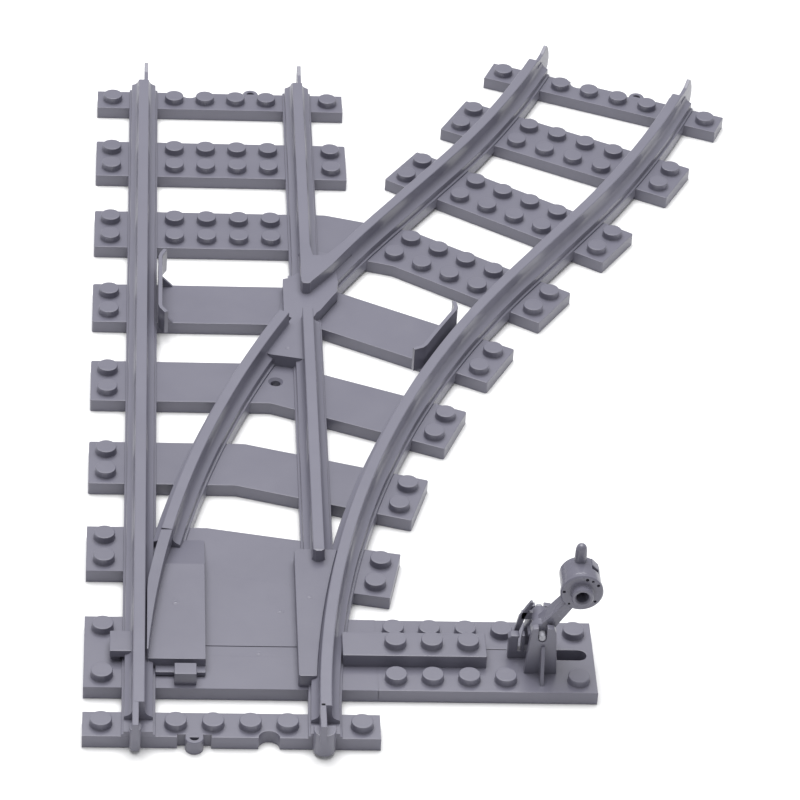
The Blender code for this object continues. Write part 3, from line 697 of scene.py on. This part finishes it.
checkLook = {
    "half": 0.5, "bottom": 3.3,
    "left": [(-14.1, 147.7), (-15.3, 149.6), (-15.6, 150.8), (-15.6, 171.2), (-15.3, 172.4), (-14.4, 174.3)],
    # the right one is given as (distance along the diverging line, offset from it)
    "right": [(145.4, 13.9), (147.3, 15.4), (148.5, 15.7), (153.0, 15.7), (157.5, 15.7), (162.0, 15.7), (166.2, 15.7),
              (167.3, 15.4), (169.2, 13.9)],
    "gusset": [(-0.3, 3.1), (3.0, 3.1), (3.0, 3.3), (0.4, 6.0), (-0.3, 6.0)],
}


def addGusset(bm, place, toRight):
    # a small triangle on the sleeper that holds the check rail up
    gusset = [(x if toRight else -x, z) for x, z in checkLook["gusset"]]
    addStanding(bm, gusset, -0.4, 0.4, lip=0.06, matrix=placed(place))


def buildCheckRails():
    half, bottom = checkLook["half"], checkLook["bottom"]
    bm = bmesh.new()
    addRibbon(bm, checkLook["left"], half, bottom, railTop)
    for y in (152.5, 167.5):
        addGusset(bm, (-15.5, y, 0.0), True)
    finishPiece("leftCheckRail", bm, "base", railAbs, ["left_check_rail"])
    bm = bmesh.new()
    addRibbon(bm, [beside(branchPlace(s), 0.0, o) for s, o in checkLook["right"]], half, bottom, railTop)
    middle = branchLength - spacing * 4
    for edge in (-7.5, 7.5):
        x, y = beside(branchPlace(middle), edge, 15.6)
        addGusset(bm, (x, y, branchPlace(middle)[2]), False)
    finishPiece("rightCheckRail", bm, "base", railAbs, ["right_check_rail"])


buildCheckRails()


# frog
def buildFrog():
    inner = bend + gauge
    head, foot = 1.32, 3.6
    startY, stopY, veeY = 136.0, 150.5, 160.8
    bm = bmesh.new()
    leftEdge = [(arcX(inner + foot, y), y) for y in steps(startY, 154.0, 5)]
    wing = [(arcX(inner - 5.7, y), y) for y in steps(154.0, 162.4, 3)]
    skirt = [(gauge + foot, startY), (gauge + foot, 152.5), *wing, (14.4, 162.4), *reversed(leftEdge)]
    addSlab(bm, skirt, 0.9, 3.75, corner=0.0, lip=0.14)
    leftThroat = [(arcX(inner - 1.0, y), y) for y in steps(startY, stopY, 4)]
    floor = [(8.4, 136.4), (11.0, 135.3), (18.6, 133.7), (gauge, 134.0), (gauge + head, stopY), (gauge + 2.4, 153.0),
             *wing, (27.6, 163.4), (28.0, 166.0), (27.6, 170.5), (26.3, 172.3), (21.0, 172.3), (17.0, 168.4),
             (15.7, 168.3), (15.7, 167.3), (14.4, 166.9), (14.4, 152.0), *reversed(leftThroat)]
    addSlab(bm, floor, 3.0, deckFloor, corner=0.0, lip=0.2)
    addGateMark(bm, 15.1, 138.2, deckFloor, 0.8)
    finishPiece("frogCasting", bm, "base", railAbs, ["frog_casting"])

    bm = bmesh.new()
    left, right = gauge - head, gauge + head
    nose = [(left, veeY + 1.2), (left + 0.4, veeY + 0.2), (left + 1.0, veeY), (right - 1.0, veeY),
            (right - 0.4, veeY + 0.2), (right, veeY + 1.0)]
    branchRight = [beside(branchPlace(s), 0.0, -gauge + head) for s in steps(167.0, 176.5, 4)]
    crotch = [beside(branchPlace(176.5), 0.0, -gauge - head), (25.0, 173.0), (right + 0.6, 173.0), (right, 177.2)]
    branchEnd = Vector(beside(branchPlace(176.5), 0.0, -gauge))
    addSlab(bm, [*nose, *branchRight, *crotch, (left, 177.2)], 3.0, railTop, corner=0.0, lip=0.25,
            keepSharp=lambda p: abs(p.y - 177.2) < 0.05 or (p.xy - branchEnd).length < 0.3)
    crotchFloor = [(20.5, 172.0), (27.5, 172.0), beside(branchPlace(188.0), 0.0, -gauge - 1.0), (gauge + 1.0, 188.0)]
    addSlab(bm, crotchFloor, 0.9, plate - 0.004, corner=0.0, lip=0.0)
    finishPiece("frogVee", bm, "base", railAbs, ["frog_vee"])


buildFrog()
print("frog ready")


# fixed fittings
def buildFixtures():
    bm = bmesh.new()
    edge = [(arcX(bend - gauge + 1.9, y), y) for y in steps(16.9, 61.0, 8)]
    addSlab(bm, [(14.6, 17.3), (15.0, 16.9), *edge, (16.0, 61.0), (14.6, 60.2)], plate - 0.1, deckFloor, corner=0.0)
    addGateMark(bm, 17.6, 44.0, deckFloor, 0.6)
    finishPiece("flangePlate", bm, "base", sleeperAbs, ["flange_plate"])

    bm = bmesh.new()
    addSlab(bm, [(24.4, 24.0), (56.0, 24.0), (56.0, 32.0), (24.4, 32.0)], plate - 0.1, deckFloor, corner=0.3)
    addStuds(bm, [(36.0, 28.0), (44.0, 28.0), (52.0, 28.0)], deckFloor)
    finishPiece("rightRodCover", bm, "base", sleeperAbs, ["right_rod_cover"])

    bm = bmesh.new()
    addSlab(bm, [(-26.4, 24.5), (-20.9, 24.5), (-20.9, 31.4), (-26.4, 31.4)], 4.7, deckFloor, corner=0.25)
    addSlab(bm, [(-26.2, 25.5), (-24.0, 25.5), (-24.0, 31.0), (-26.2, 31.0)], plate - 0.1, 4.8, corner=0.2, lip=0.0)
    finishPiece("leftRodCover", bm, "base", sleeperAbs, ["left_rod_cover"])

    bm = bmesh.new()
    tab = [(17.0, plate - 0.1), (19.6, plate - 0.1), (19.6, 4.9), (20.8, 4.9), (20.8, deckFloor), (17.0, deckFloor)]
    addStanding(bm, tab, 7.5, 12.3, lip=0.18, matrix=quarterTurn)
    finishPiece("retainerTab", bm, "base", sleeperAbs, ["retainer_tab"])


buildFixtures()

stand = {
    "x": 67.5, "z": 13.0, "slot": 0.95,       # the pivot's place and the half width of its open slot
    "front": (22.4, 24.0), "frontEar": 2.9,
    "rear": (32.3, 33.7), "rearEar": 1.2,
}


def buildStand():
    x, z, half = stand["x"], stand["z"], stand["slot"]
    slot = [(x + half * math.cos(a), z + half * math.sin(a)) for a in steps(0.0, -math.pi, 8)]
    for name, node, ends, ear in (("frontBracket", "front_bracket", stand["front"], stand["frontEar"]),
                                  ("rearBracket", "rear_bracket", stand["rear"], stand["rearEar"])):
        panel = [(x - 3.4, plate - 0.1), (x + 3.8, plate - 0.1), (x + 3.0, z + ear - 1.3), (x + 2.5, z + ear - 0.2),
                 (x + half, z + ear), *slot, (x - half, z + ear), (x - 2.2, z + ear - 0.2), (x - 2.5, z + ear - 1.3)]
        bm = bmesh.new()
        addStanding(bm, panel, *ends, lip=0.16)
        if name == "frontBracket":
            rib = [(-5.0, plate - 0.1), (1.0, plate - 0.1), (1.0, 11.0), (-1.3, 11.0)]
            turn = Matrix.Translation((x + 0.3, 23.0, 0.0)) @ quarterTurn
            addStanding(bm, rib, -0.4, 0.4, lip=0.1, matrix=turn)
        finishPiece(name, bm, "base", sleeperAbs, [node])


buildStand()
print("fittings ready")


lever = {
    "lean": math.radians(35.0), "throw": 3.5, "target": (75.4, 24.4), "drum": 4.45, "collar": 4.7, "bore": 29.0,
    # small marks in the collar: (across, up, radius)
    "pinholes": [(-3.9, 0.4, 0.36), (3.4, 2.2, 0.36), (-2.6, -2.9, 0.3), (3.0, -2.2, 0.34), (0.9, 3.7, 0.4),
                 (2.2, 3.3, 0.3)],
}


# tongue, throw rod and fork
def buildSlide():
    radius, left, heelY = bend + gauge, -18.35, 63.3
    ys = steps(22.1, 55.0, 8)
    bm = bmesh.new()
    plateLeft = [(arcX(radius, y) + 0.8, y) for y in ys]
    addSlab(bm, [(-5.5, 22.1), (-5.5, 55.0), *reversed(plateLeft)], 3.5, deckFloor, corner=0.0, lip=0.16,
            keepSharp=lambda p: p.y > 54.9)
    ramp = [(0.0, 3.5), (11.8, 3.5), (11.8, 3.7), (0.0, 6.39)]
    turn = Matrix.Translation((0.0, 55.0, 0.0)) @ quarterTurn
    addStanding(bm, ramp, 5.5, 15.0, lip=0.0, matrix=turn)
    addSlab(bm, [(-16.4, 19.9), (-5.5, 19.9), (-5.5, 22.6), (-16.4, 22.6)], 3.5, 4.4, corner=0.2, lip=0.12)
    bladeYs = steps(21.6, heelY, 12)
    low = [(max(arcX(radius, y) - 1.3, left), y) for y in bladeYs]
    high = [(arcX(radius, y) + 1.3, y) for y in bladeYs]
    addSlab(bm, high + list(reversed(low)), 5.6, railTop, corner=0.0, lip=0.22)
    addTurned(bm, [(0.0, 1.6), (1.0, 1.6), (1.0, 3.8), (0.0, 3.8)], (-12.0, 28.65, 0.0), sides=16)
    addGateMark(bm, -12.0, 41.4, deckFloor)
    finishPiece("tongue", bm, "slide", sleeperAbs, ["tongue"])

    bm = bmesh.new()
    addSlab(bm, [(-26.0, 27.0), (71.8, 27.0), (71.8, 30.3), (-26.0, 30.3)], 1.1, plate, corner=0.0, lip=0.1,
            keepSharp=lambda p: p.y < 27.1)
    addGateMark(bm, 6.2, 28.1, plate, 0.8)
    finishPiece("throwRod", bm, "slide", sleeperAbs, ["throw_rod"])

    bm = bmesh.new()
    addSlab(bm, [(60.8, 27.5), (67.4, 27.5), (67.4, 29.3), (60.8, 29.3)], 3.3, 5.3, corner=0.25)
    hook = [(60.8, 5.0), (62.9, 5.0), (62.9, 8.9), (63.2, 9.2), (63.0, 9.6), (61.3, 9.6), (60.6, 9.0), (60.8, 8.3)]
    addStanding(bm, hook, 27.4, 29.4, lip=0.2)
    crankX = stand["x"] - lever["throw"] * math.sin(lever["lean"])
    for side in (-1.45, 1.45):
        middle = crankX + side
        prong = [(middle - 0.4, 5.0), (middle + 0.4, 5.0), (middle + 0.3, 9.6), (middle - 0.3, 9.6)]
        addStanding(bm, prong, 27.5, 29.3, lip=0.12)
    finishPiece("driveFork", bm, "slide", sleeperAbs, ["drive_fork"])


buildSlide()
print("points ready")


# lever
def buildLever():
    x, z, lean = stand["x"], stand["z"], lever["lean"]
    along = Vector((math.sin(lean), 0.0, math.cos(lean)))
    side = Vector((math.cos(lean), 0.0, -math.sin(lean)))
    pivot = Vector((x, 0.0, z))

    def bar(reach, inner, outer):
        corners = ((reach[0], -inner), (reach[0], inner), (reach[1], outer), (reach[1], -outer))
        points = [pivot + along * a + side * b for a, b in corners]
        return [(p.x, p.z) for p in points]

    bm = bmesh.new()
    hub = [(0.0, 24.4), (2.2, 24.4), (2.5, 24.7), (2.5, 26.6), (2.2, 26.9), (1.9, 26.9), (1.9, 31.6),
           (1.7, 31.8), (0.0, 31.8)]
    addTurned(bm, hub, (x, 0.0, z), axis="Y")
    addStanding(bm, bar((1.0, 9.4), 1.6, 1.1), 24.5, 28.6, lip=0.22)
    addStanding(bm, bar((0.0, -4.4), 1.6, 0.9), 29.9, 31.7, lip=0.2)
    crank = pivot - along * lever["throw"]
    crankPin = [(0.0, 27.0), (0.45, 27.0), (0.6, 27.15), (0.6, 30.2), (0.0, 30.2)]
    addTurned(bm, crankPin, (crank.x, 0.0, crank.z), axis="Y", sides=16)
    finger = [(64.4, 12.6), (65.9, 16.4), (65.6, 16.9), (65.2, 16.7), (62.9, 12.6), (61.9, 7.5), (62.3, 7.0),
              (62.8, 7.2)]
    addStanding(bm, finger, 30.25, 31.15, lip=0.12)
    addStanding(bm, [(63.4, 12.0), (66.6, 12.0), (66.6, 14.0), (63.4, 14.0)], 30.25, 31.15, lip=0.1)
    finishPiece("leverArm", bm, "lever", leverAbs, ["lever_arm"])

    tx, tz = lever["target"]
    bm = bmesh.new()
    drum, collar, deep = lever["drum"], lever["collar"], lever["bore"]
    profile = [(0.0, deep), (1.4, deep), (1.4, 22.9), (1.7, 22.55), (2.2, 22.5), (2.4, 22.75), (2.4, 24.1),
               (2.55, 24.25), (collar - 0.3, 24.25), (collar, 24.55), (collar, 25.4), (collar - 0.2, 25.65),
               (drum - 0.1, 25.75), (drum, 26.0), (drum, 31.5), (drum - 0.5, 32.0), (0.0, 32.0)]
    addTurned(bm, profile, (tx, 0.0, tz), axis="Y", sides=48)
    cutter = bmesh.new()
    groove = [(tx + 1.5, tz + 3.1), (tx + 3.1, tz + 1.5), (tx + 4.8, tz + 3.2), (tx + 3.2, tz + 4.8)]
    addStanding(cutter, groove, 28.1, 29.2, lip=0.0)
    for across, up, radius in lever["pinholes"]:
        mark = [(0.0, 23.0), (radius, 23.0), (radius, 25.2), (0.0, 25.2)]
        addTurned(cutter, mark, (tx + across, 0.0, tz + up), axis="Y", sides=12)
    bm = cutAway(bm, cutter)
    lug = [(tx + 1.6, tz + 3.2), (tx + 3.2, tz + 1.6), (tx + 4.0, tz + 2.35), (tx + 2.35, tz + 4.0)]
    addStanding(bm, lug, 29.3, 31.6, lip=0.15)
    finishPiece("leverTarget", bm, "lever", leverAbs, ["lever_target"])

    bm = bmesh.new()
    grip = [(0.0, tz + 3.6), (1.38, tz + 3.6), (1.35, 29.8), (1.28, 31.4), (1.15, 32.3),
            (0.9, 32.8), (0.5, 33.1), (0.0, 33.2)]
    addTurned(bm, grip, (75.2, 30.4, 0.0), sides=24)
    finishPiece("leverGrip", bm, "lever", leverAbs, ["lever_grip"])

    bm = bmesh.new()
    pin = [(0.0, 22.5), (0.6, 22.5), (0.8, 22.7), (0.8, 33.6), (0.6, 33.8), (0.0, 33.8)]
    addTurned(bm, pin, (x, 0.0, z), axis="Y", sides=24)
    finishPiece("pivotPin", bm, "lever", pinAbs, ["pivot_pin"])


buildLever()
print("lever ready")


# floor, light and camera
floorLook = {"size": 3.0, "height": -0.00005, "white": 0.93, "roughness": 0.9, "specular": 0.1}


def makeFloor():
    bm = bmesh.new()
    bmesh.ops.create_grid(bm, x_segments=1, y_segments=1, size=floorLook["size"])
    mesh = bpy.data.meshes.new("floor")
    bm.to_mesh(mesh)
    bm.free()
    floor = bpy.data.objects.new("floor", mesh)
    bpy.context.scene.collection.objects.link(floor)
    floor.location.z = floorLook["height"]
    card = bpy.data.materials.new("whitePaintedBoard")
    card.use_nodes = True
    shader = card.node_tree.nodes["Principled BSDF"]
    shader.inputs["Base Color"].default_value = (*[floorLook["white"]] * 3, 1.0)
    shader.inputs["Roughness"].default_value = floorLook["roughness"]
    shader.inputs["Specular IOR Level"].default_value = floorLook["specular"]
    mesh.materials.append(card)


lightLook = {
    "sky": (0.98, 0.985, 1.0), "skyStrength": 0.44,
    "boxSize": 1.2, "boxPower": 25.0, "boxAt": (-0.1, 0.3, 1.28),
}


def makeLights():
    world = bpy.data.worlds.new("studio")
    bpy.context.scene.world = world
    world.use_nodes = True
    background = world.node_tree.nodes["Background"]
    background.inputs["Color"].default_value = (*lightLook["sky"], 1.0)
    background.inputs["Strength"].default_value = lightLook["skyStrength"]
    data = bpy.data.lights.new("softbox", "AREA")
    data.shape = "SQUARE"
    data.size = lightLook["boxSize"]
    data.energy = lightLook["boxPower"]
    box = bpy.data.objects.new("softbox", data)
    bpy.context.scene.collection.objects.link(box)
    box.location = lightLook["boxAt"]
    box.rotation_euler = (-Vector(lightLook["boxAt"])).to_track_quat("-Z", "Y").to_euler()


cameraLook = {
    "at": (-0.0764, -0.8101, 0.5926), "aim": (-0.0088, -0.0138, 0.003),
    "roll": 3.855, "lens": 188.0, "sensor": 36.0,
}


def makeCamera():
    data = bpy.data.cameras.new("camera")
    data.lens = cameraLook["lens"]
    data.sensor_width = cameraLook["sensor"]
    camera = bpy.data.objects.new("camera", data)
    bpy.context.scene.collection.objects.link(camera)
    at = Vector(cameraLook["at"])
    camera.location = at
    aimed = (Vector(cameraLook["aim"]) - at).to_track_quat("-Z", "Y").to_matrix()
    camera.rotation_euler = (aimed @ Matrix.Rotation(math.radians(cameraLook["roll"]), 3, "Z")).to_euler()
    bpy.context.scene.camera = camera


makeFloor()
makeLights()
makeCamera()
bpy.context.scene.view_settings.view_transform = "Standard"
print("floor, lights and camera ready")
